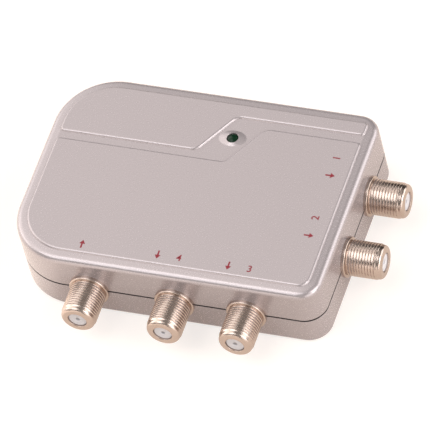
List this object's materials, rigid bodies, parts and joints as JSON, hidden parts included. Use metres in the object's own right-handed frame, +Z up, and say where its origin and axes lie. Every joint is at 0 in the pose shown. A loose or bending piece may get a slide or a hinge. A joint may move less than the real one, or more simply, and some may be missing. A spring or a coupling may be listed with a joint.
{
  "type": "active signal splitter",
  "caption": "Flat silver box with a threaded coaxial input, coaxial outputs on two walls, an indicator lamp in a dish and a power inlet at the back.",
  "frame": {"origin": "centre of the case's underside", "axes": "+X to the right, where two outputs stand; +Y to the back wall with the power inlet; +Z up through the roof with the lamp"},
  "size_m": [0.0976, 0.0713, 0.02],
  "materials": {
    "case_silver": "satin silver paint on moulded plastic",
    "socket_nickel": "bright warm nickel plate on turned brass",
    "insulator_white": "white moulded plastic",
    "contact_brass": "tinned brass",
    "screw_steel": "zinc-plated steel",
    "board_green": "green lacquered glass-fibre board",
    "lamp_green": "dark green tinted lamp body",
    "black_plastic": "black moulded plastic",
    "lead_tin": "tinned metal",
    "capacitor_sleeve": "dark sleeve on an aluminium can",
    "ferrite": "dark grey ferrite",
    "winding_copper": "enamelled copper wire",
    "ceramic_tan": "tan ceramic",
    "resistor_black": "black-topped ceramic"
  },
  "bodies": {
    "root": {"amplifier_chip": "black_plastic", "amplifier_legs": "lead_tin", "balancing_resistors": "resistor_black", "blocking_capacitors": "ceramic_tan", "board_screws": "screw_steel", "capacitor_leads": "lead_tin", "case_screws": "screw_steel", "choke_core": "ferrite", "choke_winding": "winding_copper", "circuit_board": "board_green", "diode_leads": "lead_tin", "input_socket_body": "socket_nickel", "input_socket_contact": "contact_brass", "input_socket_insulator": "insulator_white", "lamp_leads": "lead_tin", "lamp_lens": "lamp_green", "lower_shell": "case_silver", "output_1_socket_body": "socket_nickel", "output_1_socket_contact": "contact_brass", "output_1_socket_insulator": "insulator_white", "output_2_socket_body": "socket_nickel", "output_2_socket_contact": "contact_brass", "output_2_socket_insulator": "insulator_white", "output_3_socket_body": "socket_nickel", "output_3_socket_contact": "contact_brass", "output_3_socket_insulator": "insulator_white", "output_4_socket_body": "socket_nickel", "output_4_socket_contact": "contact_brass", "output_4_socket_insulator": "insulator_white", "polarity_diode": "black_plastic", "power_inlet_housing": "black_plastic", "power_inlet_pin": "lead_tin", "power_inlet_spring": "lead_tin", "regulator_legs": "lead_tin", "smoothing_capacitor_1": "capacitor_sleeve", "smoothing_capacitor_2": "capacitor_sleeve", "splitter_core_1": "ferrite", "splitter_core_2": "ferrite", "splitter_core_3": "ferrite", "splitter_winding_1": "winding_copper", "splitter_winding_2": "winding_copper", "splitter_winding_3": "winding_copper", "upper_shell": "case_silver", "voltage_regulator": "black_plastic"}
  },
  "joints": []
}
